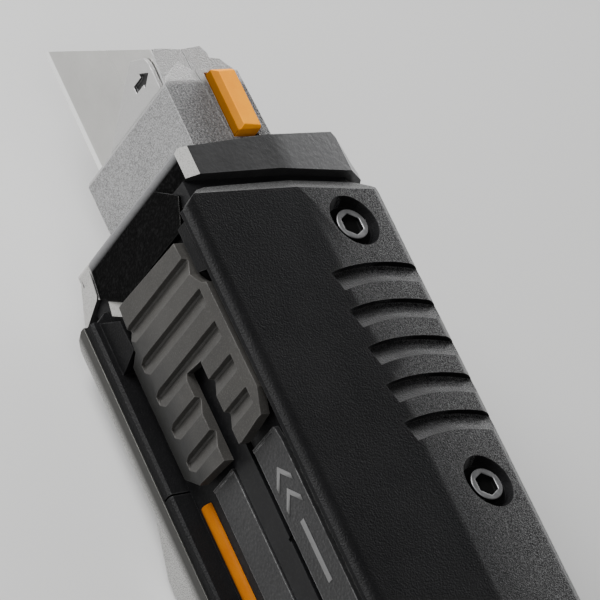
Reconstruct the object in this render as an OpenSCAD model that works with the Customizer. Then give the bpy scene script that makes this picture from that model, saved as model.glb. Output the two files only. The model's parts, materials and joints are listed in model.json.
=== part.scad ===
// Utility knife with a turning head and a sliding blade.
// X runs from the blade to the tail, Z is up from the left side plate, -Y is the thumb side.

/* [Blade] */
// Length of the blade's cutting edge
blade_len = 61; // [60:0.5:61]
// Width of the blade
blade_w = 18.8; // [18.4:0.1:18.8]
// Thickness of the blade
blade_t = 0.63; // [0.5:0.01:0.65]
// Number of spare blades in the handle
spare_count = 3; // [1:1:3]

/* [Head] */
// Width of the nose
nose_w = 21.3; // [21.2:0.1:21.5]
// How far the cheek stands in front of the collar
cheek_len = 11.9; // [10:0.1:12.5]
// How far the front block stands in front of the collar
block_len = 17; // [16:0.1:17.5]
// Height of the release button above the nose
button_rise = 1.6; // [1:0.1:2.3]
// Travel of the release button
button_travel = 1.2; // [0.5:0.1:1.2]

/* [Handle] */
// End of the frame, measured from the head's reference plane
frame_end = 131.7; // [131.7:0.1:138]
// Length of the tail cap
cap_len = 14.8; // [12:0.1:18]
// How far the left side plate stands out of the grip
plate_rise = 4.2; // [3:0.1:4.4]
// Spacing of the grip screws along the handle
screw_pitch = 38.4; // [37:0.05:40]

/* [Slider] */
// Travel of the thumb slider and the blade
slide_travel = 30; // [20:1:30]
// Number of ribs across the thumb slider
rib_count = 5; // [4:1:5]
// Height of the thumb slider
slider_h = 1.5; // [1.3:0.1:1.6]

/* [Hidden] */
$fn = 64;
e = 0.01;

collar_x = 2.2;
frame_x = 6.5;
grip_x = 7.45;
bore_r = 11.1;
journal_r = 11.0;
slot_x = 33.6;
slot_end = slot_x + slide_travel + 3.4;
flange_r = 11.4;
flange_x0 = 9.1;
flange_x1 = 11.1;
split_z = -0.75;
top_y = -12.1;
plate_y = -12.85;
lip_y = -15.3;
belly_y = 19;
ridge_y = 3.4;
belly_r = 2.6;
belly_r_y = 15.6;
belly_r_drop = 4.087;
right_z = 13.2;
left_z = -14.6;
rest_z = left_z - plate_rise;
blade_y0 = -5.2;
blade_y1 = blade_y0 + blade_t;
bed_y = -2.85;
nose_y0 = -6.4;
nose_y1 = 6.6;
nose_x1 = 1.9;
barrel_end = 31;
blade_x0 = -29.2;
hub_x0 = 32.2;
hub_x1 = 38.2;
bore_end = hub_x1 + slide_travel + 0.8;
cap_x0 = frame_end + 0.3;
cap_x1 = cap_x0 + cap_len;
pin_x = frame_end + 2.5;
pin_y = 15.4;
store_x0 = 70.2;
screw_x = 14;
screw_y = 10.5;
shift = [-(blade_x0 + cap_x1) / 2, -(lip_y + belly_y) / 2, -rest_z];

// Placement of the design origin, on the head's axis, in the part's frame
module place() { translate(shift) children(); }

// Outline in (y, z), extruded from x0 to x1
module along_x(x0, x1, pts) {
  translate([x0, 0, 0]) rotate([90, 0, 90]) linear_extrude(x1 - x0) polygon(pts);
}

// Outline in (x, z), extruded from y0 to y1
module along_y(y0, y1, pts) {
  translate([0, y1, 0]) rotate([90, 0, 0]) linear_extrude(y1 - y0) polygon(pts);
}

// Outline in (x, y), extruded from z0 to z1
module along_z(z0, z1, pts) {
  translate([0, 0, z0]) linear_extrude(z1 - z0) polygon(pts);
}

// Box between two corners
module box(a, b) { translate(a) cube(b - a); }

// Round bar along X on the head's axis
module x_rod(x0, x1, r) {
  translate([x0, 0, 0]) rotate([0, 90, 0]) cylinder(h = x1 - x0, r = r, $fn = 96);
}

// Round bar along Z at (x, y)
module z_rod(x, y, z0, z1, r) { translate([x, y, z0]) cylinder(h = z1 - z0, r = r); }

// Cone along Z at (x, y)
module z_cone(x, y, z0, z1, ra, rb) { translate([x, y, z0]) cylinder(h = z1 - z0, r1 = ra, r2 = rb); }

// Room for the tail cap's hinge in whatever lies in front of it
module hinge_room() {
  z_rod(pin_x, pin_y, -20, 20, 4);
  box([pin_x - 4, pin_y, -20], [pin_x + 6, pin_y + 8, 20]);
}

// Positions of the two grip screws
function grip_at(i) = [screw_x + i * screw_pitch, screw_y + i];

// ---------------------------------------------------------------- frame

// Outline of the frame in (y, z), on the side given by s
function frame_section(s, zf) = [
  [top_y, split_z], [top_y, zf], [4, zf], [13.5, zf - s * 1.25], [16.5, zf - s * 3.25],
  [17.4, zf - s * 5.4], [17.4, split_z + s * 1.05], [18.8, split_z + s * 1.05], [18.8, split_z]
];

frame_screw_at = [[31, 12.7], [66, 12.7], [96, -9.2], [120, -9.2]];

// Everything cut from both halves of the frame
module frame_cuts() {
  x_rod(frame_x - 1, bore_end, bore_r);
  x_rod(flange_x0 - 0.2, flange_x1 + 0.2, flange_r + 0.15);
  box([store_x0, -5.6, -3.6], [frame_end + 1, 14, 3.6]);
  box([19.5, top_y - 1, -1.05], [frame_end + 1, -11.65, 3.05]);
  box([slot_x, top_y - 1, -0.5], [slot_end, -9, 1.9]);
  box([14, 10.5, -2.4], [27, 12.7, 0.9]);
  for (p = frame_screw_at) z_rod(p[0], p[1], -11, 8, 1.25);
  for (p = frame_screw_at) z_rod(p[0], p[1], -20, -9.3, 2.4);
  difference() {
    hinge_room();
    z_rod(pin_x, pin_y, -4, 2, 2.6);
    box([pin_x - 5, pin_y - 2.6, -4], [pin_x, pin_y + 2.6, 2]);
  }
  z_rod(pin_x, pin_y, -20, 20, 1.05);
}

// Lug that carries the tail cap's pin
module hinge_lug(z0, z1) {
  z_rod(pin_x, pin_y, z0, z1, 2.6);
  box([pin_x - 5, pin_y - 2.6, z0], [pin_x, pin_y + 2.6, z1]);
}

module frame_right() {
  color("#26272a") place() difference() {
    union() {
      along_x(frame_x, frame_end, frame_section(1, 12));
      hinge_lug(split_z, 2);
    }
    frame_cuts();
    for (i = [0, 1]) {
      z_rod(grip_at(i)[0], grip_at(i)[1], 8.4, 13, 2.1);
      z_rod(grip_at(i)[0], grip_at(i)[1], 10.2, 13, 4.4);
    }
    along_z(3.0, 3.9, [[58, top_y - 1], [76, top_y - 1], [76, -11.65], [58, -11.65]]);
  }
}

module frame_left() {
  color("#26272a") place() difference() {
    union() {
      along_x(frame_x, frame_end, frame_section(-1, -13.1));
      hinge_lug(-4, split_z);
    }
    frame_cuts();
    for (i = [0, 1]) z_rod(grip_at(i)[0], grip_at(i)[1], -14, -9.9, 2.1);
  }
}

module frame_screws() {
  color("#8d8f92") place() for (p = frame_screw_at) {
    z_rod(p[0], p[1], -9.4, 7.9, 1.25);
    difference() {
      z_rod(p[0], p[1], -10.7, -9.3, 2.2);
      translate([p[0], p[1], -10.8]) cylinder(h = 0.8, r = 1.3, $fn = 6);
    }
  }
}

// Smooth flank of the collar, beside its six-sided slope and towards the left side
module collar_flank() {
  intersection() {
    translate([0, -12.35, -10.8]) rotate([4, 0, 0]) along_z(-6, 0.3, [
      [2.9, 3], [3, 0.3], [9.4, -0.67], [9.4, 3]]);
    along_x(2, 9.4, [[-14, -10.5], [-14, -16], [-10.5, -16], [-10.5, -13.2],
      [top_y - 0.02, -13.2], [top_y - 0.02, -10.5]]);
    along_y(-14, -9, [[2.35, -10.8], [2.35, -12.9], [3.9, -13.7], [8.9, -15.6], [9.3, -15.3],
      [7.75, -11.25], [7.3, -10.8]]);
  }
}

// Faceted casting around the front of the frame
module front_collar() {
  color("#3a3b3e") place() difference() {
    union() {
      intersection() {
        along_x(0, frame_x - 0.05, [
          [-11.9, -13.6], [-11.9, 12.5], [-10.2, 13.36], [2, 13.6], [13.9, 12.1], [16.7, 9.85],
          [17.8, 7.6], [17.8, -9.6], [13.9, -14.2], [2, -15.2], [-10.6, -15.2]]);
        along_z(-16, 15, [
          [collar_x + 0.7, -12], [frame_x, -12], [frame_x, 17.6], [frame_x - 0.8, 17.3], [4.6, 15.6],
          [0.5, 13.5], [collar_x, -9], [collar_x, -11.4]]);
      }
      intersection() {
        along_z(-13, 11, [[2.3, -10], [2.8, -11.75], [11.6, -13.1], [11.6, top_y - 0.02],
          [frame_x - 0.05, top_y - 0.02], [frame_x - 0.05, -10]]);
        along_y(-14, -9, [[2.3, -10.9], [2.3, 4.4], [7.6, 10.6], [11.6, 9], [11.4, -6.3],
          [7.6, -11.2]]);
      }
      collar_flank();
      along_y(-12.6, top_y - 0.02, [[8.8, -9.3], [10.6, -6.2], [12.2, -6.2], [12.3, -8.2],
        [11, -9.9]]);
    }
    x_rod(-1, frame_x - 0.01, bore_r);
    x_rod(-1, collar_x, 13.2);
  }
}

// ---------------------------------------------------------------- grips

// Edges of the two grips beside the thumb slider, in (y, z)
right_lip = [[top_y - 0.05, 11.5], [-14.3, 11.6], [-14.55, 11.95], [-14.45, 12.4], [-14.05, 12.8],
  [-13.4, 13.08], [-12.5, right_z]];
left_lip = [[top_y - 0.05, -10.9], [-14.7, -11.2], [-15.05, -11.55], [-15.05, -12.6],
  [-13.95, -12.6], [-13.95, left_z]];

// Rounded belly edge in (y, z) under the outer face at zo, on the side given by s
function belly_arc(s, zo) = [for (a = [6.9, 20, 33, 46, 60, 75])
  [belly_r_y + belly_r * sin(a), zo - s * (belly_r_drop - belly_r * cos(a))]];

// Grip section in (y, z): outer face at zo, inner face at zi, on the side given by s
function grip_section(s, zo, zi, zb, lip) = concat(lip, [[ridge_y, zo]], belly_arc(s, zo), [
  [18.3, zo - s * 4.2], [belly_y, zo - s * 6.4], [belly_y, zb], [17.5, zb],
  [17.5, zi - s * 5.3], [16.6, zi - s * 3.2], [13.55, zi - s * 1.2], [4, zi], [top_y - 0.05, zi]
]);

groove_count = 5;
groove_x = 20.15;
groove_pitch = 5.47;
groove_r = 33;
groove_tilt = -6.9;

// Curved finger grooves across the sloping part of the face: a steep front wall, then a hollow ramp
module finger_grooves() {
  for (i = [0:groove_count - 1])
    translate([groove_x + groove_pitch * i + groove_r, ridge_y, right_z]) rotate([groove_tilt, 0, 0])
      translate([0, 9.2, 0]) rotate([0, 0, 168]) rotate_extrude(angle = 30.5, $fn = 192) polygon([
        [groove_r, 1], [groove_r - 0.15, -0.8], [groove_r - 0.5, -0.85], [groove_r - 1.6, -0.62],
        [groove_r - 2.5, -0.24], [groove_r - 3.05, 0.1], [groove_r - 3.05, 1]]);
}

module right_grip() {
  color("#202124") place() difference() {
    union() {
      intersection() {
        along_x(grip_x - 1, frame_end, grip_section(1, right_z, 12.05, 0.45, right_lip));
        along_z(-1, 15, [[10.9, -17], [10.9, -14.25], [9.6, -12.9], [8.4, -11.4], [7.9, -9.8],
          [grip_x + 0.3, -6.5], [grip_x, 5], [grip_x, 14.2], [grip_x + 0.9, 16.6],
          [grip_x + 2.8, 18.4], [grip_x + 4, 20], [frame_end - 0.2, 20], [frame_end - 0.2, -17]]);
        along_y(-17, 21, [[grip_x - 1, -1], [grip_x - 1, 11.75], [grip_x + 1.85, right_z + 0.1],
          [frame_end - 1, right_z + 0.1], [frame_end, 12.2], [frame_end, -1]]);
      }
      along_y(-14.1, top_y - 0.05, [[11.9, 9.7], [11.9, 12.1], [19.2, 12.1], [18.2, 9.7]]);
      for (i = [0, 1]) z_rod(grip_at(i)[0], grip_at(i)[1], 10.25, 11.6, 4.35);
    }
    finger_grooves();
    translate([0, ridge_y, right_z]) rotate([groove_tilt, 0, 0]) along_y(0.04, 18, [
      [grip_x - 1, 1], [grip_x - 1, -1.47], [grip_x + 1.83, 0.08], [grip_x + 1.83, 1]]);
    for (i = [0, 1]) {
      z_cone(grip_at(i)[0], grip_at(i)[1], 10.65, 13.65, 3.1, 4.2);
      z_rod(grip_at(i)[0], grip_at(i)[1], 8, 12, 1.35);
    }
    hinge_room();
  }
}

// Front part of the left grip
module left_grip() {
  color("#202124") place() difference() {
    union() {
      intersection() {
        along_x(grip_x, 36.2, grip_section(-1, left_z, -13.15, -1.95, left_lip));
        along_z(-16, 0, [[10.9, -17], [10.9, -14], [9.7, -12.6], [9.7, -9.5], [grip_x, -9],
          [grip_x, 21], [37, 21], [37, -17]]);
      }
      along_y(-13.9, top_y - 0.05, [[10.2, -13.25], [10.1, -12.9], [13.3, -7.5], [17.7, -7.3],
        [18.5, -9.7], [18.9, -11.2], [18.9, -13.25]]);
    }
    z_cone(grip_at(0)[0], grip_at(0)[1], -14.95, -12.95, 5.3, 2.5);
    z_rod(grip_at(0)[0], grip_at(0)[1], -14, -10, 1.35);
  }
}

// Rear part of the left grip, behind the seam
module left_rear_grip() {
  color("#202124") place() difference() {
    along_x(36.4, frame_end - 0.2, grip_section(-1, left_z, -13.15, -1.95, left_lip));
    z_rod(grip_at(1)[0], grip_at(1)[1], -16, -10, 1.35);
    hinge_room();
  }
}

// Satin metal plate along the left side: a rail beside the thumb that swells out behind the seam
module left_side_plate() {
  color("#a9abad") place() difference() {
    union() {
      intersection() {
        along_x(37, frame_end - 2, [
          [lip_y, left_z - 0.05], [lip_y, rest_z + 0.9], [lip_y + 0.9, rest_z],
          [13.5, rest_z], [16, left_z - 0.9], [16, left_z + 2.4], [ridge_y, left_z - 0.05]]);
        along_y(-16, 20, [[37.5, left_z + 3], [37.5, left_z - 0.8], [46.6, rest_z],
          [frame_end - 12, rest_z], [frame_end - 4, left_z - 0.8], [frame_end - 4, left_z + 3]]);
      }
      intersection() {
        along_x(10.6, frame_end - 4, [
          [lip_y, -12.65], [lip_y, left_z - 0.4], [lip_y + 0.4, left_z - 0.8], [-9, left_z - 0.8],
          [-9, left_z - 0.05], [-14, left_z - 0.05], [-14, -12.65]]);
        along_y(-16, -8, [[10.6, -12], [10.6, -13.4], [11.2, -14.5], [13.1, -15.3], [15, -16],
          [frame_end - 4, -16], [frame_end - 4, -12]]);
      }
    }
    along_x(36, frame_end, [[ridge_y, left_z - 0.04], [16.7, left_z + 1.56], [16.9, left_z + 5],
      [ridge_y, left_z + 5]]);
    z_rod(grip_at(1)[0], grip_at(1)[1], -20, left_z - 0.66, 3.4);
    z_rod(grip_at(1)[0], grip_at(1)[1], -20, -10, 1.35);
  }
}

module grip_inserts() {
  color("#b08d3c") place() for (i = [0, 1]) {
    difference() {
      z_rod(grip_at(i)[0], grip_at(i)[1], 8.4, 10.1, 2.1);
      z_rod(grip_at(i)[0], grip_at(i)[1], 8, 12, 1.25);
    }
    difference() {
      z_rod(grip_at(i)[0], grip_at(i)[1], -11.6, -9.9, 2.1);
      z_rod(grip_at(i)[0], grip_at(i)[1], -13, -9, 1.25);
    }
  }
}

// Low socket screw: head between z0 and z1, shank down to z2, on the side given by s
module grip_screw(p, z0, z1, z2) {
  difference() {
    z_rod(p[0], p[1], min(z0, z1), max(z0, z1), 2.2);
    translate([p[0], p[1], (z1 > z0 ? z1 - 0.7 : z1 - 1)]) cylinder(h = 1.7, r = 1.6, $fn = 6);
  }
  z_rod(p[0], p[1], min(z2, z0), max(z2, z0), 1.25);
}

module right_grip_screws() {
  color("#5c5e61") place() for (i = [0, 1]) grip_screw(grip_at(i), 10.68, 11.6, 8.5);
}

module left_grip_screws() {
  color("#5c5e61") place() {
    grip_screw(grip_at(0), -12.97, -13.87, -10);
    grip_screw(grip_at(1), left_z - 0.68, left_z - 1.6, -10);
  }
}

// ---------------------------------------------------------------- spine trim

module spine_plate_right() {
  color("#56585a") place() union() {
    along_y(plate_y, top_y - 0.02, [[39.9, 3.6], [39.9, 8.8], [42, 9.1], [128, 9.1], [128, 3.6]]);
    along_y(plate_y - 0.1, plate_y + 0.1, [[39.9, 3.6], [39.9, 8.8], [40.3, 8.8], [40.3, 3.6]]);
  }
}

module spine_plate_left() {
  color("#56585a") place() union() {
    along_y(plate_y, top_y - 0.02, [[39.3, -6], [39.3, -1.2], [128, -1.2], [128, -6]]);
    along_y(plate_y - 0.1, plate_y + 0.1, [[39.3, -6], [39.3, -1.2], [39.7, -1.2], [39.7, -6]]);
  }
}

// Round topped bar in the channel beside the left spine plate
module accent_bar() {
  color("#f08a12") place() {
    intersection() {
      translate([39.6, -11.75, -9.2]) rotate([0, 90, 0]) cylinder(h = 86, r = 1.15);
      box([39, -14, -11], [126, top_y - 0.02, -7]);
    }
  }
}

// Generic mark on the right spine plate: two chevrons and a bar
module mode_mark() {
  color("#c9cacb") place() {
    for (x = [44, 47]) along_y(plate_y - 0.06, plate_y,
      [[x, 6.3], [x + 2, 8], [x + 2.9, 8], [x + 0.9, 6.3], [x + 2.9, 4.6], [x + 2, 4.6]]);
    box([51.5, plate_y - 0.06, 5.9], [60, plate_y, 6.7]);
  }
}

// ---------------------------------------------------------------- detents, spare blades, tail cap

// Leaf under the head's barrel that holds the two head positions
module turn_detent_leaf() {
  color("#9b9da0") place() along_z(-2.2, 0.7, [
    [14.2, 12.2], [14.2, 12.6], [26.8, 12.6], [26.8, 12.2], [23, 12.2], [21.4, 11.2],
    [20.4, 11.2], [18.8, 12.2]]);
}

// Leaf beside the slide bar that holds the blade positions
module slide_detent_leaf() {
  color("#9b9da0") place() along_y(-12.06, -11.68, [
    [58.2, 3.5], [58.2, 3.85], [75.8, 3.85], [75.8, 3.5], [69, 3.5], [67.5, 3.0],
    [66.5, 3.0], [65, 3.5]]);
}

// Trapezoid blade outline in (x, z) with its two spine notches
function blade_outline(x0) = [
  [x0, -blade_w / 2], [x0 + blade_len, -blade_w / 2], [x0 + blade_len - 14, blade_w / 2],
  [x0 + blade_len / 2 + 5.4, blade_w / 2], [x0 + blade_len / 2 + 5.4, blade_w / 2 - 2.3],
  [x0 + blade_len / 2 + 3, blade_w / 2 - 2.3], [x0 + blade_len / 2 + 3, blade_w / 2],
  [x0 + blade_len / 2 - 3, blade_w / 2], [x0 + blade_len / 2 - 3, blade_w / 2 - 2.3],
  [x0 + blade_len / 2 - 5.4, blade_w / 2 - 2.3], [x0 + blade_len / 2 - 5.4, blade_w / 2],
  [x0 + 14, blade_w / 2]
];

// Ground bevel along the cutting edge
module blade_solid(x0, y0) {
  difference() {
    along_y(y0, y0 + blade_t, blade_outline(x0));
    along_x(x0 - 1, x0 + blade_len + 1, [
      [y0 - 0.1, -blade_w / 2 - 0.1], [y0 + blade_t * 0.4, -blade_w / 2 - 0.1],
      [y0 - 0.1, -blade_w / 2 + 1.1]]);
    along_x(x0 - 1, x0 + blade_len + 1, [
      [y0 + blade_t + 0.1, -blade_w / 2 - 0.1], [y0 + blade_t * 0.6, -blade_w / 2 - 0.1],
      [y0 + blade_t + 0.1, -blade_w / 2 + 1.1]]);
  }
}

module spare_blades() {
  color("#b9bbbd") place() for (i = [0:spare_count - 1])
    translate([0, 4.2, -3.5 + i * (blade_t + 0.02)]) rotate([90, 0, 0]) blade_solid(70.4, 0);
}

module cap_pin() {
  color("#9b9da0") place() z_rod(pin_x, pin_y, -11, 9, 1);
}

module tail_cap() {
  color("#2a2b2e") place() difference() {
    intersection() {
      along_x(cap_x0, cap_x1, concat(
        [[-12.6, -13.2], [-11, left_z], [ridge_y, left_z]], belly_arc(-1, left_z),
        [[18.3, left_z + 4.2], [belly_y, left_z + 6.4], [belly_y, right_z - 6.4], [18.3, right_z - 4.2]],
        [for (i = [5:-1:0]) belly_arc(1, right_z)[i]],
        [[ridge_y, right_z], [-11, right_z], [-12.6, 11.4]]));
      union() {
        along_z(-16, 14, [[cap_x0, -13], [cap_x1 - 3, -13], [cap_x1, -9], [cap_x1, 14.6],
          [cap_x1 - 3, belly_y], [pin_x, belly_y], [pin_x, pin_y], [cap_x0, pin_y]]);
        z_rod(pin_x, pin_y, -16, 14, 3.6);
      }
    }
    box([cap_x0 - 3, pin_y - 3, -4.25], [pin_x + 3, belly_y + 1, 2.25]);
    z_rod(pin_x, pin_y, -12, 10, 1.05);
    box([cap_x0 - 1, -5.6, -3.6], [cap_x0 + 5, 11.5, 3.6]);
  }
}

// ---------------------------------------------------------------- head

nose_z0 = -nose_w / 2 - 0.35;
nose_z1 = nose_w / 2 - 0.35;
block_z = nose_z1 - 0.55;
cheek_x = collar_x - cheek_len;
block_x = collar_x - block_len;
button_x0 = -10.4;
button_x1 = -1.1;
button_y0 = 0.5;
button_y1 = 3.9;
button_z0 = 8.9;
button_top = nose_z1 + button_rise;
spring_x = (button_x0 + button_x1) / 2;
spring_y = (button_y0 + button_y1) / 2;

// Part of the head that turns in the frame, between two planes across Y
module journal(x1, ya, yb) {
  intersection() {
    union() {
      x_rod(nose_x1 - e, x1, journal_r);
      x_rod(flange_x0, flange_x1, flange_r);
    }
    box([0, ya, -12], [x1, yb, 12]);
  }
}

module nose_body() {
  color("#6c6d6f") place() difference() {
    union() {
      along_z(nose_z0, block_z, [
        [block_x, -0.9], [block_x - 0.4, 2.1], [block_x + 1.2, 3], [block_x + 1.4, 4.5],
        [block_x + 2.2, 5.1], [block_x + 3.3, nose_y1 - 0.5], [nose_x1, nose_y1], [nose_x1, 0]]);
      along_z(nose_z0 + 1, nose_z1, [
        [block_x + 3.5, -0.7], [block_x + 3.5, nose_y1 - 1.6], [nose_x1, nose_y1 - 1.2], [nose_x1, 0]]);
      box([cheek_x, bed_y, nose_z0 + 0.8], [nose_x1, e, block_z - 0.6]);
      journal(barrel_end, bed_y, 12);
    }
    along_z(block_z - 0.35, nose_z1 + 1, [
      [block_x - 1, 2.9], [block_x + 3.5, 2.5], [block_x + 3.5, 8], [block_x - 1, 8]]);
    box([button_x0 - 0.3, button_y0 - 0.25, button_z0 - button_travel - 0.3],
      [button_x1 + 0.3, button_y1 + 0.25, 12]);
    z_rod(spring_x, spring_y, 3.5, 8, 1.7);
    for (a = [0, -90]) rotate([a, 0, 0]) box([19.4, journal_r - 0.45, -1.6], [22.4, 12, 0.2]);
  }
}

// Half of the head over the blade's outer face
module nose_cover() {
  color("#8a8b8d") place() {
    difference() {
      union() {
        along_z(nose_z0, nose_z1, [
          [cheek_x, nose_y0], [nose_x1, nose_y0], [nose_x1, -0.05], [cheek_x, -0.75]]);
        along_z(blade_w / 2 + 0.05, block_z, [
          [block_x, -0.97], [block_x - 0.3, -4.9], [block_x + 0.3, -5.5], [cheek_x, -5.9],
          [cheek_x, -0.75]]);
      }
      box([cheek_x - 1, blade_y0 - 0.1, nose_z0 + 0.7], [nose_x1 + 1, 0, blade_w / 2 + 0.05]);
      along_z(nose_z0 - 1, nose_z1 + 1, [[cheek_x - 1, nose_y0 - 1], [cheek_x + 0.7, nose_y0 - 0.01],
        [cheek_x - 0.01, nose_y0 + 0.5], [cheek_x - 1, nose_y0 + 0.5]]);
    }
    intersection() {
      along_y(nose_y0 + 0.5, -0.7, [[cheek_x - 3.4, block_z - 0.2], [cheek_x - 3.4, block_z],
        [cheek_x + 0.4, nose_z1], [cheek_x + 0.4, block_z - 0.2]]);
      along_z(9, 11, [[cheek_x + 0.4, -5.9], [cheek_x - 1, -5.3], [cheek_x - 3.2, -2.4],
        [cheek_x - 1.4, -0.8], [cheek_x + 0.4, -0.7]]);
    }
    journal(flange_x1, -12, blade_y0 - 0.1);
  }
}

// Plate over the blade in front of the cheek, with a debossed arrow
module blade_guard() {
  color("#77787a") place() difference() {
    along_y(nose_y0 + 0.5, blade_y0 - 0.1, [
      [cheek_x - 6.5, 5.7], [cheek_x - 5, 8.3], [cheek_x - 3.9, 8.7], [cheek_x - 0.02, 8.7],
      [cheek_x - 0.02, -5], [cheek_x - 1.2, -3.2]]);
    along_y(nose_y0, nose_y0 + 0.9, [[-12.75, 7.9], [-13.85, 6.2], [-13.25, 6.2], [-13.25, 4.3],
      [-12.2, 4.3], [-12.2, 6.2], [-11.7, 6.2]]);
  }
}

module release_button() {
  color("#ee8a1c") place() intersection() {
    box([button_x0, button_y0, button_z0], [button_x1, button_y1, button_top]);
    along_x(button_x0 - 1, button_x1 + 1, [
      [button_y0, 8], [button_y0, button_top - 0.7], [button_y0 + 0.75, button_top],
      [button_y1, button_top - 0.2], [button_y1, 8]]);
    along_y(0, 5, [
      [button_x0, 8], [button_x0, button_top - 0.6], [button_x0 + 0.7, button_top],
      [button_x1 - 0.5, button_top], [button_x1, button_top - 0.5], [button_x1, 8]]);
  }
}

coil_turns = 5;
coil_steps = 14;
coil_r = 1.2;
wire_r = 0.18;
coil_z0 = 3.75;
coil_z1 = 8.7;

// Ring i of eight points round the spring's wire
function coil_ring(i) =
  let (a = 360 * i / coil_steps, z = coil_z0 + (coil_z1 - coil_z0) * i / (coil_turns * coil_steps))
  [for (k = [0:7]) let (b = 45 * k, r = coil_r + wire_r * cos(b))
    [spring_x + r * cos(a), spring_y + r * sin(a), z + wire_r * sin(b)]];

// Coil spring under the release button
module button_spring() {
  n = coil_turns * coil_steps;
  pts = [for (i = [0:n]) each coil_ring(i)];
  sides = [for (i = [0:n - 1], k = [0:7]) let (a = 8 * i + k, b = 8 * i + (k + 1) % 8)
    each [[a, b, b + 8], [a, b + 8, a + 8]]];
  ends = [[for (k = [7:-1:0]) k], [for (k = [0:7]) 8 * n + k]];
  color("#b0b2b4") place() polyhedron(pts, concat(sides, ends));
}

// ---------------------------------------------------------------- blade and carrier

module blade() {
  color("#c3c5c7") place() blade_solid(blade_x0, blade_y0);
}

module blade_carrier() {
  mid = blade_x0 + blade_len / 2;
  color("#7b7d80") place() {
    difference() {
      box([-7.6, blade_y1 + 0.02, -9.3], [hub_x0, bed_y - 0.1, 9.3]);
      box([8, blade_y1 - 1, -5], [26, bed_y + 1, 5]);
    }
    for (s = [-5.3, 3.1]) box([mid + s, blade_y0 + 0.05, 7.2], [mid + s + 2.2, blade_y1 + 0.1, 9.3]);
  }
}

module carrier_hub() {
  color("#6f7174") place() difference() {
    x_rod(hub_x0, hub_x1, journal_r);
    difference() {
      x_rod(33.9, 36.5, 12);
      x_rod(33, 37, 9.1);
    }
    x_rod(hub_x0 - 1, hub_x1 + 1, 4);
  }
}

// ---------------------------------------------------------------- slider

slider_y0 = -13.2;
slider_y1 = slider_y0 - slider_h;

module thumb_slider() {
  color("#6a6864") place() difference() {
    intersection() {
      along_y(slider_y1, slider_y0, [
        [12.5, -5.7], [13.1, 8.6], [17.9, 8.9], [19.8, 10], [20.2, 10.7], [35.5, 10.9], [38.6, 9.6],
        [39.1, 4.6], [39, 3.9], [27, 3.9], [26.4, 0.2], [38.9, 0.2], [38.4, -6], [35.4, -9.4],
        [19, -9.4], [18.4, -6.9]]);
      along_x(12, 40, [[slider_y0, -9.5], [slider_y0 - 0.2, -9.5], [slider_y1, -5.4], [slider_y1, 8.8],
        [slider_y1 + 0.3, 10.9], [slider_y0, 10.9]]);
    }
    for (i = [0:rib_count - 1]) translate([15.4 + 4.75 * i, 0, 0]) along_z(-6.8, 9.3, [
      [0, slider_y1 - 0.1], [0.2, slider_y1 + 0.75], [0.5, slider_y1 + 0.8], [2.5, slider_y1 - 0.02],
      [2.5, slider_y1 - 0.1]]);
  }
}

// Bar that links the slider to the carrier and covers the slot in the frame
module slide_bar() {
  color("#18181a") place() difference() {
    union() {
      box([20, -12.75, -0.8], [100, -11.8, 2.8]);
      box([20, slider_y0, -0.8], [26, -12.7, 2.8]);
      box([34.1, -12.2, -0.2], [36.3, -9.5, 1.6]);
    }
    for (k = [0:2]) z_rod(67 - k * slide_travel / 2, -12.2, 2.5, 3.5, 0.6);
  }
}

frame_right();
frame_left();
frame_screws();
front_collar();
right_grip();
left_grip();
left_rear_grip();
left_side_plate();
grip_inserts();
right_grip_screws();
left_grip_screws();
spine_plate_right();
spine_plate_left();
accent_bar();
mode_mark();
turn_detent_leaf();
slide_detent_leaf();
spare_blades();
cap_pin();
tail_cap();
nose_body();
nose_cover();
blade_guard();
release_button();
button_spring();
blade_carrier();
carrier_hub();
blade();
thumb_slider();
slide_bar();
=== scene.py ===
import json
import math

import bmesh
import bpy
from mathutils import Matrix, Vector


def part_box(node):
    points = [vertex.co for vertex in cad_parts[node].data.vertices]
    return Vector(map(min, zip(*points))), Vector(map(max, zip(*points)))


# In metres
MM = 0.001
UM = 0.000001

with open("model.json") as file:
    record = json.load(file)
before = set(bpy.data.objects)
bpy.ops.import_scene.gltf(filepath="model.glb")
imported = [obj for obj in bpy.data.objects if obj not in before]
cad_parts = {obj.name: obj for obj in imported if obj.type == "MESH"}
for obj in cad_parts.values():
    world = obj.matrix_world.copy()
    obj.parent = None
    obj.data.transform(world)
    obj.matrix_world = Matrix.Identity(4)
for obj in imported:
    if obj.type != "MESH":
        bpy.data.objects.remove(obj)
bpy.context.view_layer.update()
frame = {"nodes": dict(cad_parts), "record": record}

# The head's axis and its reference plane, found from the hub that carries the blade. The hub's
# front is this many millimetres behind that plane.
HUB_FRONT_X = 32.2
hub_low, hub_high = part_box("carrier_hub")
ORIGIN = Vector((
    hub_low.x - HUB_FRONT_X * MM,
    (hub_low.y + hub_high.y) / 2,
    (hub_low.z + hub_high.z) / 2,
))


def at(x, y, z):
    """A point given in millimetres from the head's axis, in the frame's metres."""
    return ORIGIN + Vector((x, y, z)) * MM


# ---------------------------------------------------------------- camera

# The directions of the view's right side and of its back. Lengths are in millimetres.
CAMERA_RIGHT = Vector((0.393, 0.790, 0.471))
CAMERA_BACK = Vector((0.423, -0.610, 0.670))
CAMERA_FROM_HEAD = (273.3, -361.7, 405.8)
CAMERA_LENS = 294
CAMERA_SENSOR = 36
CAMERA_NEAREST = 10


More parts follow.
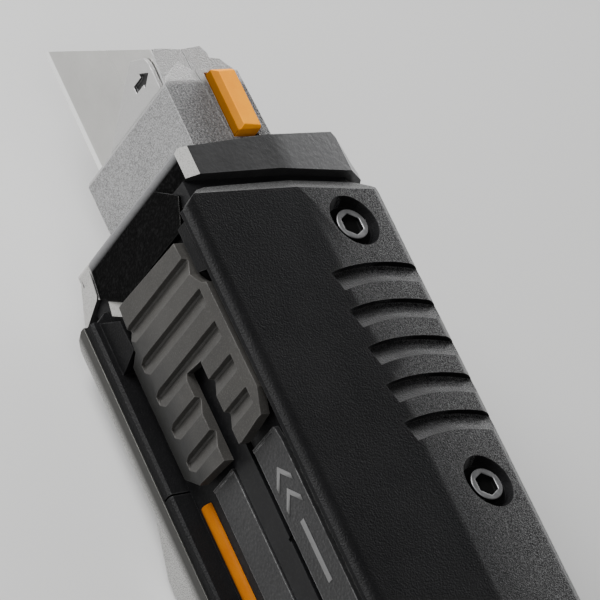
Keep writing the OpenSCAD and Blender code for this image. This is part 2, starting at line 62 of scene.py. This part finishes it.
def make_camera():
    data = bpy.data.cameras.new("camera")
    data.sensor_width = CAMERA_SENSOR
    data.lens = CAMERA_LENS
    data.clip_start = CAMERA_NEAREST * MM
    camera = bpy.data.objects.new("camera", data)
    bpy.context.scene.collection.objects.link(camera)
    right = CAMERA_RIGHT.normalized()
    back = (CAMERA_BACK - right * CAMERA_BACK.dot(right)).normalized()
    turn = Matrix((right, back.cross(right), back)).transposed().to_4x4()
    camera.matrix_world = Matrix.Translation(at(*CAMERA_FROM_HEAD)) @ turn
    bpy.context.scene.camera = camera


make_camera()

# ---------------------------------------------------------------- material nodes

# Most values of a noise lie between these two
NOISE_LOW, NOISE_HIGH = 0.3, 0.7

# How alike the plain and the rounded normals are off an edge, and on it
OFF_EDGE, ON_EDGE = 0.995, 0.86
EDGE_SAMPLES = 6

PEBBLE_SOFTNESS = 0.6

SOCKETS = {
    "colour": "Base Color",
    "rough": "Roughness",
    "metal": "Metallic",
    "specular": "Specular IOR Level",
}


class Finish:
    """The node tree of one material. Lengths are in metres, in the object's own frame.

    A mask is a value from 0 to 1 that says how much of something a point gets.
    """

    def __init__(self, name):
        self.material = bpy.data.materials.new(name)
        self.material.use_nodes = True
        self.tree = self.material.node_tree
        self.tree.nodes.clear()
        self.shader = self.tree.nodes.new("ShaderNodeBsdfPrincipled")
        output = self.tree.nodes.new("ShaderNodeOutputMaterial")
        self.tree.links.new(self.shader.outputs["BSDF"], output.inputs["Surface"])
        self.place = self.tree.nodes.new("ShaderNodeTexCoord")

    def node(self, kind, **settings):
        made = self.tree.nodes.new(kind)
        for key, value in settings.items():
            setattr(made, key, value)
        return made

    def put(self, socket, value):
        """Links a socket to another one, or sets its value."""
        if isinstance(value, bpy.types.NodeSocket):
            self.tree.links.new(value, socket)
        elif isinstance(value, (tuple, list)) and len(value) == 3 and socket.type == "RGBA":
            socket.default_value = (*value, 1)
        else:
            socket.default_value = value

    def set(self, **values):
        """Sets the shader's inputs."""
        for key, value in values.items():
            self.put(self.shader.inputs[SOCKETS[key]], value)

    # Textures

    def noise(self, size, detail, rough, stretch=(1, 1, 1)):
        """Noise whose grains are about this size across."""
        mapping = self.node("ShaderNodeMapping")
        self.put(mapping.inputs["Vector"], self.place.outputs["Object"])
        mapping.inputs["Scale"].default_value = stretch
        made = self.node("ShaderNodeTexNoise")
        self.put(made.inputs["Vector"], mapping.outputs["Vector"])
        made.inputs["Scale"].default_value = 1 / size
        made.inputs["Detail"].default_value = detail
        made.inputs["Roughness"].default_value = rough
        return made.outputs["Fac"]

    def pebbles(self, size):
        """Rounded pebbles of about this size."""
        made = self.node("ShaderNodeTexVoronoi", feature="SMOOTH_F1")
        self.put(made.inputs["Vector"], self.place.outputs["Object"])
        made.inputs["Scale"].default_value = 1 / size
        made.inputs["Smoothness"].default_value = PEBBLE_SOFTNESS
        return made.outputs["Distance"]

    # Arithmetic

    def math(self, operation, first, second=0.0):
        made = self.node("ShaderNodeMath", operation=operation)
        self.put(made.inputs[0], first)
        self.put(made.inputs[1], second)
        return made.outputs["Value"]

    def span(self, value, low, high, start=0.0, end=1.0):
        """Maps low..high to start..end, held at both ends."""
        made = self.node("ShaderNodeMapRange", clamp=True)
        self.put(made.inputs["Value"], value)
        self.put(made.inputs["From Min"], low)
        self.put(made.inputs["From Max"], high)
        self.put(made.inputs["To Min"], start)
        self.put(made.inputs["To Max"], end)
        return made.outputs["Result"]

    def blend(self, mask, first, second):
        """Goes from the first colour to the second with a mask."""
        made = self.node("ShaderNodeMix", data_type="RGBA")
        self.put(made.inputs["Factor"], mask)
        self.put(made.inputs[6], first)
        self.put(made.inputs[7], second)
        return made.outputs[2]

    def fade(self, mask, without, within):
        """Goes from one number to another with a mask."""
        return self.span(mask, 0, 1, without, within)

    def vary(self, noise, low, high):
        """A number that a noise moves between low and high."""
        return self.span(noise, NOISE_LOW, NOISE_HIGH, low, high)

    def mottle(self, noise, first, second):
        """Two colours that a noise mixes."""
        return self.blend(self.vary(noise, 0, 1), first, second)

    def less(self, value, mask, amount):
        """A number lowered by an amount within a mask."""
        return self.math("SUBTRACT", value, self.where(mask, amount))

    # Masks

    def where(self, *masks):
        """Where all the masks hold, each being a mask or a plain share."""
        product = masks[0]
        for mask in masks[1:]:
            product = self.math("MULTIPLY", product, mask)
        return product

    def band(self, value, rise, fall):
        """Rises with the value over one range and falls over another."""
        return self.where(self.span(value, *rise), self.span(value, *fall))

    def axis(self, which, name):
        """One component of an object-space output, such as Object or Normal."""
        made = self.node("ShaderNodeSeparateXYZ")
        self.put(made.inputs[0], self.place.outputs[name])
        return made.outputs[which]

    def facing(self, direction, low, high):
        """Rises as the surface turns towards a direction, such as "Y" or "-Y"."""
        turned = self.axis(direction[-1], "Normal")
        if direction.startswith("-"):
            turned = self.math("MULTIPLY", turned, -1.0)
        return self.span(turned, low, high)

    def along(self, which, start, end, first=0.0, last=1.0):
        """Goes from first to last between two places on an axis, in millimetres from the head's."""
        edges = [at(place, place, place)["XYZ".index(which)] for place in (start, end)]
        return self.span(self.axis(which, "Object"), *edges, first, last)

    def edges(self, radius, strength):
        """The edges, within this radius of them."""
        rounded = self.node("ShaderNodeBevel", samples=EDGE_SAMPLES)
        rounded.inputs["Radius"].default_value = radius
        here = self.node("ShaderNodeNewGeometry")
        dot = self.node("ShaderNodeVectorMath", operation="DOT_PRODUCT")
        self.put(dot.inputs[0], rounded.outputs["Normal"])
        self.put(dot.inputs[1], here.outputs["Normal"])
        return self.span(dot.outputs["Value"], OFF_EDGE, ON_EDGE, 0.0, strength)

    def rubbed(self, radius, strength, patches, low, high):
        """The edges that handling has rubbed, in patches: more where the noise nears high."""
        return self.where(self.edges(radius, strength), self.span(patches, low, high))

    # Bump

    def relief(self, layers):
        """Bump from several heights, each given as (height, distance in metres, strength)."""
        normal = None
        for height, distance, strength in layers:
            made = self.node("ShaderNodeBump")
            self.put(made.inputs["Height"], height)
            made.inputs["Distance"].default_value = distance
            self.put(made.inputs["Strength"], strength)
            if normal is not None:
                self.put(made.inputs["Normal"], normal)
            normal = made.outputs["Normal"]
        self.put(self.shader.inputs["Normal"], normal)


def scaled(colour, factor, limit=1.0):
    """A colour made lighter or darker, with a limit for each channel."""
    return tuple(min(channel * factor, limit) for channel in colour)


# ---------------------------------------------------------------- finishes

# Where a colour changes on the knife, in millimetres from the head's axis. Each pair says where
# the change starts and where it is complete.
GRIP_FRONT_X = (10.6, 9.6)
GRIP_GLINT_Y = (2.5, 17)
NOSE_PAINTED_LIGHT_X = (-9, -10)
ARROW_FLOOR_Y = (-5.86, -5.8)
ARROW_FRONT_X = (-11.3, -11.6)
ARROW_LOW_Z = (4, 4.2)
ARROW_HIGH_Z = (8.2, 8)
RAIL_Z = (-15.0, -13.7)
SLOPE_LEFT_Z = (-11, -10.7)
SLOPE_FRONT_X = (3.9, 2.9)
SLOPE_RAISED_X = (3.3, 4.1)
SLOPE_RAISED_Y = (-12, -12.1)
RING_LIT_Y = (2.5, 5)

# The slanting line behind which the collar's small tab begins: its X in millimetres at the
# head's axis, the X it gains for each Z, and how soft it is in millimetres
TAB_EDGE = 16.45
TAB_SLANT = 0.776
TAB_SOFTNESS = 0.1

# How far the blade's ground bevel reaches above the cutting edge, in millimetres
GROUND_HEIGHT = (1.2, 1.0)
# How far a screw's socket lies below the top of its head, in millimetres
SOCKET_DEPTH = (0.06, 0.14)

# Slopes towards the belly, where painted glints and a painted rim light go: the range of the
# normal's Y over which each sets in, and the range over which it ends
GRIP_TILTED = ((0.05, 0.1), (0.85, 0.6))
GRIP_PAINTED_RIM = ((0.25, 0.4), (0.85, 0.6))
COLLAR_PAINTED_RIM = ((0.18, 0.3), (0.74, 0.6))
# The bevel along the collar's corner, which takes painted light, as the same ranges of the normal's
# -Y
COLLAR_CORNER = ((0.28, 0.38), (0.72, 0.6))


def moulded(name, base, light, dark, grain, depth, rough, wear=0.35, wear_colour=None,
            pebble=None, shine=0.3, under=None):
    """Moulded plastic: spark-eroded grain, faint clouds of colour, and edges rubbed paler.

    The grain has a size and a depth, and pebble is the size of a second, coarser grain. Faces
    that look down are darkened with painted shade, in the colour given for it.
    """
    f = Finish(name)
    clouds = f.noise(9 * MM, detail=4, rough=0.6)
    fine = f.noise(grain, detail=2.5, rough=0.6)
    worn = f.rubbed(0.22 * MM, wear, f.noise(1.7 * MM, detail=4, rough=0.65), 0.35, 0.62)
    colour = f.mottle(clouds, dark, base)
    colour = f.blend(f.span(fine, 0.5, 0.8, 0.0, 0.5), colour, light)
    # painted shade: faces that look down take a darker colour
    if under:
        colour = f.blend(f.facing("Z", -0.12, -0.25), colour, under)
    colour = f.blend(worn, colour, wear_colour or light)
    smear = f.noise(5 * MM, detail=3, rough=0.6, stretch=(1, 1.6, 1))
    smear = f.vary(smear, rough - 0.06, rough + 0.06)
    f.set(colour=colour, rough=f.less(smear, worn, 0.18), specular=shine)
    layers = [(fine, depth, 1.0)]
    if pebble:
        layers.append((f.pebbles(pebble), depth * 2.5, 0.8))
    f.relief(layers)
    return f.material


def grip_rubber(name):
    """Black soft-touch rubber with a fine stipple.

    The front end, the slope towards the belly and the belly's own edge are painted paler:
    painted light on the front end, painted glints in the stipple on the slope, and a painted rim
    light along the belly's edge.
    """
    f = Finish(name)
    stipple = f.noise(0.24 * MM, detail=2.0, rough=0.55)
    speck = f.noise(0.16 * MM, detail=1.0, rough=0.5)
    clouds = f.noise(14 * MM, detail=4, rough=0.6)
    swells = f.noise(3.2 * MM, detail=2, rough=0.5)
    worn = f.rubbed(0.3 * MM, 0.5, f.noise(2.3 * MM, detail=4, rough=0.7), 0.32, 0.6)
    colour = f.mottle(clouds, (0.004, 0.004, 0.0043), (0.007, 0.007, 0.0074))
    colour = f.blend(f.span(speck, 0.58, 0.78, 0.0, 0.6), colour, (0.018, 0.018, 0.0184))
    colour = f.blend(worn, colour, (0.04, 0.04, 0.041))

    # painted light on the faces that look to the front, speckled by the stipple
    front = f.where(f.facing("-X", 0.12, 0.4), f.along("X", *GRIP_FRONT_X))
    painted_front_light = f.blend(f.span(speck, 0.4, 0.6), (0.035, 0.035, 0.035), (0.075, 0.075, 0.075))
    colour = f.blend(front, colour, painted_front_light)

    # painted glints on the stipple of the slopes towards the belly, more of them towards the belly
    sideways = f.axis("Y", "Normal")
    tilted = f.band(sideways, *GRIP_TILTED)
    across = f.along("Y", *GRIP_GLINT_Y, 0.12, 0.75)
    painted_glints = f.where(f.span(speck, 0.42, 0.66), tilted, across)
    colour = f.blend(painted_glints, colour, (0.14, 0.14, 0.142))
    # painted rim light along the belly's edge, where the rubber is also smoother
    belly = f.band(sideways, *GRIP_PAINTED_RIM)
    colour = f.blend(belly, colour, (0.11, 0.11, 0.111))

    rough = f.vary(f.noise(6 * MM, detail=4, rough=0.6), 0.36, 0.45)
    f.set(colour=colour, rough=f.less(rough, belly, 0.12), specular=0.07)
    f.relief([(stipple, 60 * UM, 1.0), (swells, 30 * UM, 0.35)])
    return f.material


def cast_metal(name, base, dark, rough, coarse, metal, painted_tip_light=None, rail=None, arrow=None):
    """Satin casting: fine grain all over, and coarser and darker where it looks up or down, with
    painted highlights on the coarser grain's peaks and painted shade in its pits.

    Coarse is the depth of the coarser grain. Then come colours: painted light for the front of the
    nose, one for the upper part of the side plate, and painted shade for the floor of the arrow
    that is pressed into the guard.
    """
    f = Finish(name)
    level = f.span(f.math("ABSOLUTE", f.axis("Z", "Normal")), 0.55, 0.9)
    fine = f.noise(0.13 * MM, detail=3, rough=0.6)
    lumps = f.noise(0.28 * MM, detail=3, rough=0.62)
    clouds = f.noise(6 * MM, detail=5, rough=0.6)
    worn = f.rubbed(0.25 * MM, 0.75, f.noise(1.1 * MM, detail=4, rough=0.65), 0.3, 0.55)
    tone = f.mottle(clouds, dark, base)
    tone = f.blend(f.span(fine, 0.44, 0.6, 0.0, 0.75), tone, scaled(base, 1.9))
    tone = f.blend(f.span(fine, 0.46, 0.32, 0.0, 0.8), tone, scaled(base, 0.45))
    tone = f.blend(f.where(level, 0.5), tone, scaled(dark, 0.6))
    # painted highlights on the coarse grain's peaks and painted shade in its pits, on faces that
    # look up or down
    painted_grain_highlights = f.where(f.span(lumps, 0.52, 0.66, 0.0, 0.8), level)
    tone = f.blend(painted_grain_highlights, tone, scaled(base, 1.4))
    painted_grain_shade = f.where(f.span(lumps, 0.5, 0.38), level, 0.6)
    tone = f.blend(painted_grain_shade, tone, scaled(dark, 0.35))
    # painted light on the front of the nose
    if painted_tip_light:
        tone = f.blend(f.along("X", *NOSE_PAINTED_LIGHT_X, 0.0, 0.8), tone, painted_tip_light)
    # painted shade on the floor of the pressed arrow
    if arrow:
        pressed = f.where(f.along("Y", *ARROW_FLOOR_Y), f.along("X", *ARROW_FRONT_X),
                          f.along("Z", *ARROW_LOW_Z), f.along("Z", *ARROW_HIGH_Z))
        tone = f.blend(pressed, tone, arrow)
    tone = f.blend(worn, tone, scaled(base, 2.4))
    if rail:
        tone = f.blend(f.along("Z", *RAIL_Z), tone, rail)
    grain_rough = f.vary(fine, rough - 0.05, rough + 0.08)
    f.set(colour=tone, metal=metal, specular=0.3, rough=f.less(grain_rough, worn, 0.12))
    f.relief([(fine, 22 * UM, 1.0), (lumps, coarse, f.fade(level, 0.15, 1.0))])
    return f.material


def collar_metal(name):
    """Gunmetal paint with orange peel, with painted light past the middle and a painted rim light
    towards the belly.

    The six-sided slope that faces the thumb is textured black, with a painted highlight along its
    front edge. What else faces the thumb, and the bevel along the corner, is not metallic and
    carries painted light in a light grey.
    """
    f = Finish(name)
    peel = f.noise(0.75 * MM, detail=2, rough=0.5)
    fine = f.noise(0.16 * MM, detail=2, rough=0.6)
    lumps = f.noise(0.42 * MM, detail=3, rough=0.6)
    clouds = f.noise(7 * MM, detail=4, rough=0.6)

    facing = f.facing("-Y", 0.64, 0.76)
    raised = f.where(f.along("Y", *SLOPE_RAISED_Y), f.along("X", *SLOPE_RAISED_X))
    slant = f.math("MULTIPLY", f.axis("Z", "Object"), TAB_SLANT)
    across = f.math("SUBTRACT", f.axis("X", "Object"), slant)
    tab = at(TAB_EDGE, 0, 0).x - at(0, 0, 0).z * TAB_SLANT
    off_tab = f.span(across, tab, tab - TAB_SOFTNESS * MM)
    slope = f.where(f.math("MAXIMUM", facing, raised), f.along("Z", *SLOPE_LEFT_Z), off_tab)
    # painted highlight along the slope's front edge
    front = f.where(slope, f.along("X", *SLOPE_FRONT_X))
    # painted light on the corner's bevel and on the other faces that face the thumb
    corner = f.where(f.band(f.math("MULTIPLY", f.axis("Y", "Normal"), -1.0), *COLLAR_CORNER),
                     f.facing("Z", 0.6, 0.75))
    painted_facet_light = f.math("MAXIMUM", corner, f.math("SUBTRACT", facing, slope))
    # painted rim light on the slopes towards the belly
    belly = f.band(f.axis("Y", "Normal"), *COLLAR_PAINTED_RIM)
    # painted light on the ring past the middle
    lit = f.where(f.along("Y", *RING_LIT_Y), f.facing("Z", 0.6, 0.8))
    worn = f.rubbed(0.35 * MM, 0.15, f.noise(1.4 * MM, detail=4, rough=0.65), 0.25, 0.5)
    worn = f.where(worn, f.fade(slope, 1.0, 0.15))

    paint = f.mottle(clouds, (0.06, 0.06, 0.061), (0.085, 0.085, 0.086))
    paint = f.blend(lit, paint, (0.14, 0.14, 0.142))
    black = f.blend(f.span(lumps, 0.5, 0.68), (0.0008, 0.0008, 0.0008), (0.006, 0.006, 0.0061))
    tone = f.blend(slope, paint, black)
    tone = f.blend(front, tone, (0.16, 0.16, 0.163))
    tone = f.blend(painted_facet_light, tone, (0.34, 0.336, 0.325))
    tone = f.blend(f.where(painted_facet_light, f.span(fine, 0.5, 0.35, 0.0, 0.5)), tone, (0.15, 0.148, 0.143))
    tone = f.blend(worn, tone, (0.2, 0.2, 0.203))
    tone = f.blend(f.where(belly, 0.7), tone, (0.4, 0.4, 0.4))

    f.set(colour=tone, metal=f.fade(f.math("MAXIMUM", slope, painted_facet_light), 0.7, 0.0),
          specular=0.02, rough=f.fade(slope, 0.36, 0.62))
    f.relief([(peel, 50 * UM, f.fade(slope, 0.8, 0.2)), (fine, 20 * UM, 0.3),
              (lumps, 120 * UM, slope)])
    return f.material


def blade_steel(name):
    """Satin ground steel: long faint polishing lines, and lines across the ground edge."""
    f = Finish(name)
    long_lines = f.noise(0.9 * MM, detail=5, rough=0.75, stretch=(0.03, 1, 7))
    cross_lines = f.noise(0.9 * MM, detail=5, rough=0.75, stretch=(8, 1, 0.06))
    clouds = f.noise(8 * MM, detail=4, rough=0.6)
    stains = f.noise(2.5 * MM, detail=5, rough=0.7)
    edge_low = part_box("blade")[0].z
    bevel = [edge_low + height * MM for height in GROUND_HEIGHT]
    ground = f.span(f.axis("Z", "Object"), *bevel)
    lines = f.blend(ground, long_lines, cross_lines)
    colour = f.mottle(clouds, (0.46, 0.455, 0.44), (0.54, 0.535, 0.52))
    colour = f.blend(f.span(stains, 0.62, 0.75, 0.0, 0.35), colour, (0.36, 0.35, 0.33))
    colour = f.blend(ground, colour, (0.95, 0.95, 0.94))
    f.set(colour=colour, metal=1.0, rough=f.vary(lines, 0.25, 0.38))
    f.relief([(lines, 3 * UM, 0.8)])
    return f.material


def machined(name, base, rough, metal=1.0):
    """Small turned or pressed metal parts with fine tool marks."""
    f = Finish(name)
    marks = f.noise(0.25 * MM, detail=4, rough=0.7, stretch=(1, 1, 4))
    clouds = f.noise(2.5 * MM, detail=4, rough=0.6)
    worn = f.rubbed(0.12 * MM, 0.7, clouds, 0.35, 0.6)
    colour = f.mottle(clouds, scaled(base, 0.72), base)
    colour = f.blend(worn, colour, scaled(base, 1.45, limit=0.85))
    f.set(colour=colour, metal=metal, rough=f.vary(marks, rough - 0.07, rough + 0.07))
    f.relief([(marks, 4 * UM, 0.8)])
    return f.material


def screw_metal(name):
    """Zinc flake on the screw heads, with painted shade inside the socket."""
    f = Finish(name)
    clouds = f.noise(0.9 * MM, detail=4, rough=0.65)
    marks = f.noise(0.2 * MM, detail=3, rough=0.6)
    worn = f.rubbed(0.12 * MM, 0.8, clouds, 0.35, 0.6)
    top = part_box("right_grip_screws")[1].z
    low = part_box("left_grip_screws")[0].z
    under_top = [top - depth * MM for depth in SOCKET_DEPTH]
    over_low = [low + depth * MM for depth in SOCKET_DEPTH]
    # painted shade inside the sunken socket
    painted_socket_shade = f.band(f.axis("Z", "Object"), under_top, over_low)
    colour = f.mottle(clouds, (0.24, 0.24, 0.245), (0.34, 0.34, 0.345))
    colour = f.blend(worn, colour, (0.5, 0.5, 0.5))
    colour = f.blend(painted_socket_shade, colour, (0.004, 0.004, 0.004))
    f.set(colour=colour, metal=f.fade(painted_socket_shade, 0.9, 0.0), specular=0.04,
          rough=f.vary(marks, 0.32, 0.46))
    f.relief([(marks, 5 * UM, 0.8)])
    return f.material


def orange(name, base, rough, peel, shade=0.0):
    """Orange moulding with faint flow clouds, fine peel, paler corners and painted shade on the
    thumb side.
    """
    f = Finish(name)
    clouds = f.noise(3.5 * MM, detail=4, rough=0.6)
    fine = f.noise(0.35 * MM, detail=3, rough=0.6)
    worn = f.rubbed(0.2 * MM, 0.5, f.noise(0.9 * MM, detail=4, rough=0.65), 0.35, 0.6)
    red, green, blue = base
    colour = f.mottle(clouds, (red * 0.9, green * 0.8, blue * 0.75), base)
    colour = f.blend(worn, colour, (0.85, 0.36, 0.04))
    # painted shade on the side that faces the thumb
    painted_flank_shade = f.where(f.facing("-Y", 0.35, 0.8), shade)
    colour = f.blend(painted_flank_shade, colour, scaled(base, 0.1))
    f.set(colour=colour, rough=f.vary(fine, rough - 0.05, rough + 0.07), specular=0.03)
    f.relief([(fine, peel, 0.7)])
    return f.material


# The function that makes each material slot, and what it is given
FINISHES = {
    "frame_black": (moulded, dict(
        base=(0.008, 0.008, 0.0085), light=(0.03, 0.03, 0.031), dark=(0.005, 0.005, 0.0055),
        grain=0.22 * MM, depth=16 * UM, rough=0.5, shine=0.15)),
    "steel": (machined, dict(base=(0.55, 0.56, 0.57), rough=0.33)),
    "collar_dark": (collar_metal, {}),
    "grip_rubber": (grip_rubber, {}),
    "satin_metal": (cast_metal, dict(
        base=(0.32, 0.318, 0.31), dark=(0.25, 0.248, 0.242), rough=0.4, coarse=6 * UM,
        metal=0.85, rail=(0.06, 0.059, 0.056))),
    "insert_brass": (machined, dict(base=(0.72, 0.5, 0.2), rough=0.3)),
    "screw_dark": (screw_metal, {}),
    "plate_grey": (moulded, dict(
        base=(0.022, 0.022, 0.0225), light=(0.06, 0.06, 0.061), dark=(0.015, 0.015, 0.0155),
        grain=0.3 * MM, depth=30 * UM, rough=0.42, wear=0.7, wear_colour=(0.3, 0.3, 0.3),
        pebble=0.5 * MM, shine=0.22)),
    "orange_gloss": (orange, dict(base=(0.31, 0.094, 0.001), rough=0.36, peel=5 * UM)),
    "print_light": (moulded, dict(
        base=(0.13, 0.13, 0.13), light=(0.17, 0.17, 0.17), dark=(0.1, 0.1, 0.1),
        grain=0.12 * MM, depth=4 * UM, rough=0.5)),
    "blade_steel": (blade_steel, {}),
    "cap_black": (moulded, dict(
        base=(0.011, 0.011, 0.0115), light=(0.04, 0.04, 0.041), dark=(0.007, 0.007, 0.0075),
        grain=0.24 * MM, depth=20 * UM, rough=0.48, shine=0.2)),
    "nose_dark": (cast_metal, dict(
        base=(0.18, 0.18, 0.181), dark=(0.13, 0.13, 0.131), rough=0.46, coarse=110 * UM,
        metal=0.6, painted_tip_light=(0.44, 0.435, 0.43))),
    "nose_light": (cast_metal, dict(
        base=(0.22, 0.22, 0.221), dark=(0.165, 0.165, 0.166), rough=0.42, coarse=110 * UM,
        metal=0.6, painted_tip_light=(0.44, 0.435, 0.43), arrow=(0.03, 0.03, 0.03))),
    "orange_satin": (orange, dict(
        base=(0.92, 0.34, 0.003), rough=0.5, peel=9 * UM, shade=0.9)),
    "carrier_grey": (machined, dict(base=(0.26, 0.26, 0.27), rough=0.45, metal=0.8)),
    "slider_grey": (moulded, dict(
        base=(0.036, 0.0345, 0.032), light=(0.085, 0.082, 0.077), dark=(0.026, 0.025, 0.0235),
        grain=0.2 * MM, depth=18 * UM, rough=0.45, wear=0.5, wear_colour=(0.16, 0.156, 0.148),
        shine=0.2, under=(0.012, 0.012, 0.0115))),
    "bar_black": (moulded, dict(
        base=(0.006, 0.006, 0.0065), light=(0.02, 0.02, 0.021), dark=(0.004, 0.004, 0.0045),
        grain=0.3 * MM, depth=5 * UM, rough=0.35, shine=0.15)),
}

made_finishes = {}


def finish_for(slot):
    """The material of a slot, made when it is first asked for."""
    if slot not in made_finishes:
        make, settings = FINISHES[slot]
        made_finishes[slot] = make(slot, **settings)
    return made_finishes[slot]


# ---------------------------------------------------------------- rounded edges on the CAD nodes

# The radius of each node's edges in millimetres. A radius of zero leaves them as they are.
EDGE = {
    "right_grip": 0.22, "left_grip": 0.3, "left_rear_grip": 0.3, "tail_cap": 0.6,
    "left_side_plate": 0.35, "front_collar": 0.35, "nose_body": 0.18, "nose_cover": 0.18,
    "release_button": 0.35, "thumb_slider": 0.2, "blade": 0.03, "spare_blades": 0.03,
    "button_spring": 0.0, "mode_mark": 0.0, "blade_guard": 0.08, "slide_bar": 0.25,
    "accent_bar": 0.1, "spine_plate_right": 0.12, "spine_plate_left": 0.12,
}
COMMON_EDGE = 0.12

# Ridges too blunt for a bevel that stay as creases: nodes, and their angles in degrees
RIDGE_ANGLES = (5, 7.3)
RIDGED = ("right_grip", "left_grip", "left_rear_grip", "tail_cap")

WELD_DISTANCE = 1 * UM
FLAT_ANGLE = 0.6
BEVEL_ANGLE = 22
BEVEL_SEGMENTS = 3
NORMAL_WEIGHT = 80


def geometry_group(name):
    """An empty modifier group, with its input's and its output's geometry sockets."""
    group = bpy.data.node_groups.new(name, "GeometryNodeTree")
    for way in ("INPUT", "OUTPUT"):
        group.interface.new_socket("Geometry", in_out=way, socket_type="NodeSocketGeometry")
    source = group.nodes.new("NodeGroupInput")
    sink = group.nodes.new("NodeGroupOutput")
    return group, source.outputs[0], sink.inputs[0]


def smooth_group():
    """A modifier group that turns smooth shading on."""
    group, source, sink = geometry_group("smooth_shading")
    smooth = group.nodes.new("GeometryNodeSetShadeSmooth")
    group.links.new(source, smooth.inputs[0])
    group.links.new(smooth.outputs[0], sink)
    return group


def crease_group(low, high):
    """A modifier group that makes edges sharp if their angles lie between low and high."""
    group, source, sink = geometry_group("creases")
    angle = group.nodes.new("GeometryNodeInputMeshEdgeAngle")
    between = group.nodes.new("ShaderNodeMath")
    between.operation = "MULTIPLY"
    for socket, operation, limit in zip(between.inputs, ("GREATER_THAN", "LESS_THAN"), (low, high)):
        test = group.nodes.new("ShaderNodeMath")
        test.operation = operation
        test.inputs[1].default_value = math.radians(limit)
        group.links.new(angle.outputs["Unsigned Angle"], test.inputs[0])
        group.links.new(test.outputs[0], socket)
    sharpen = group.nodes.new("GeometryNodeSetShadeSmooth")
    sharpen.domain = "EDGE"
    sharpen.inputs["Shade Smooth"].default_value = False
    group.links.new(source, sharpen.inputs["Geometry"])
    group.links.new(between.outputs[0], sharpen.inputs["Selection"])
    group.links.new(sharpen.outputs[0], sink)
    return group


SMOOTH = smooth_group()
CREASES = crease_group(*RIDGE_ANGLES)


def soften(piece, radius, ridged):
    """Welds, merges flat faces, creases the ridges, rounds the edges, and keeps the flats flat."""
    weld = piece.modifiers.new("weld", "WELD")
    weld.merge_threshold = WELD_DISTANCE
    if radius > 0:
        flat = piece.modifiers.new("flats", "DECIMATE")
        flat.decimate_type = "DISSOLVE"
        flat.angle_limit = math.radians(FLAT_ANGLE)
        if ridged:
            creases = piece.modifiers.new("ridges", "NODES")
            creases.node_group = CREASES
        bevel = piece.modifiers.new("edges", "BEVEL")
        bevel.width = radius * MM
        bevel.segments = BEVEL_SEGMENTS
        bevel.limit_method = "ANGLE"
        bevel.angle_limit = math.radians(BEVEL_ANGLE)
        bevel.use_clamp_overlap = True
        bevel.miter_outer = "MITER_ARC"
    shade = piece.modifiers.new("smooth", "NODES")
    shade.node_group = SMOOTH
    weighted = piece.modifiers.new("normals", "WEIGHTED_NORMAL")
    weighted.keep_sharp = True
    weighted.weight = NORMAL_WEIGHT


slot_of = {row["node"]: row["material_slot"] for row in frame["record"]["subparts"]}
for name, piece in frame["nodes"].items():
    piece.data.materials.clear()
    piece.data.materials.append(finish_for(slot_of[name]))
    soften(piece, EDGE.get(name, COMMON_EDGE), name in RIDGED)


# ---------------------------------------------------------------- floor and light

# How many metres the floor reaches each way from its middle
FLOOR_REACH = 3
FLOOR_COLOUR = (0.62, 0.62, 0.615)
FLOOR_ROUGHNESS = 0.75

# The point that the lights aim at, in millimetres from the head's axis. Each light has its place
# in the same millimetres, its width and height in metres, and its power in watts.
LIGHTS_AIM = (20, 0, 0)
LIGHTS = {
    "rim": ((-300, 372, 85), (0.6, 0.1), 1.9),
    "front": ((-330, -270, 300), (0.35, 0.35), 6.5),
    "above": ((260, -330, 420), (0.4, 0.4), 1.5),
}
WORLD_STRENGTH = 0.1


def make_floor():
    mesh = bpy.data.meshes.new("floor")
    shape = bmesh.new()
    bmesh.ops.create_grid(shape, x_segments=1, y_segments=1, size=FLOOR_REACH)
    shape.to_mesh(mesh)
    shape.free()
    floor = bpy.data.objects.new("floor", mesh)
    bpy.context.scene.collection.objects.link(floor)
    f = Finish("floor")
    f.set(colour=FLOOR_COLOUR, rough=FLOOR_ROUGHNESS)
    mesh.materials.append(f.material)


def soft_light(name, place, aim, size, power):
    data = bpy.data.lights.new(name, "AREA")
    data.shape = "RECTANGLE"
    data.size, data.size_y = size
    data.energy = power
    lamp = bpy.data.objects.new(name, data)
    bpy.context.scene.collection.objects.link(lamp)
    lamp.location = place
    lamp.rotation_euler = (aim - place).to_track_quat("-Z", "Y").to_euler()


def make_world():
    world = bpy.data.worlds.new("studio")
    bpy.context.scene.world = world
    world.use_nodes = True
    sky = world.node_tree.nodes["Background"]
    sky.inputs["Color"].default_value = (1, 1, 1, 1)
    sky.inputs["Strength"].default_value = WORLD_STRENGTH


make_floor()
for name, (place, size, power) in LIGHTS.items():
    soft_light(name, at(*place), at(*LIGHTS_AIM), size, power)
make_world()
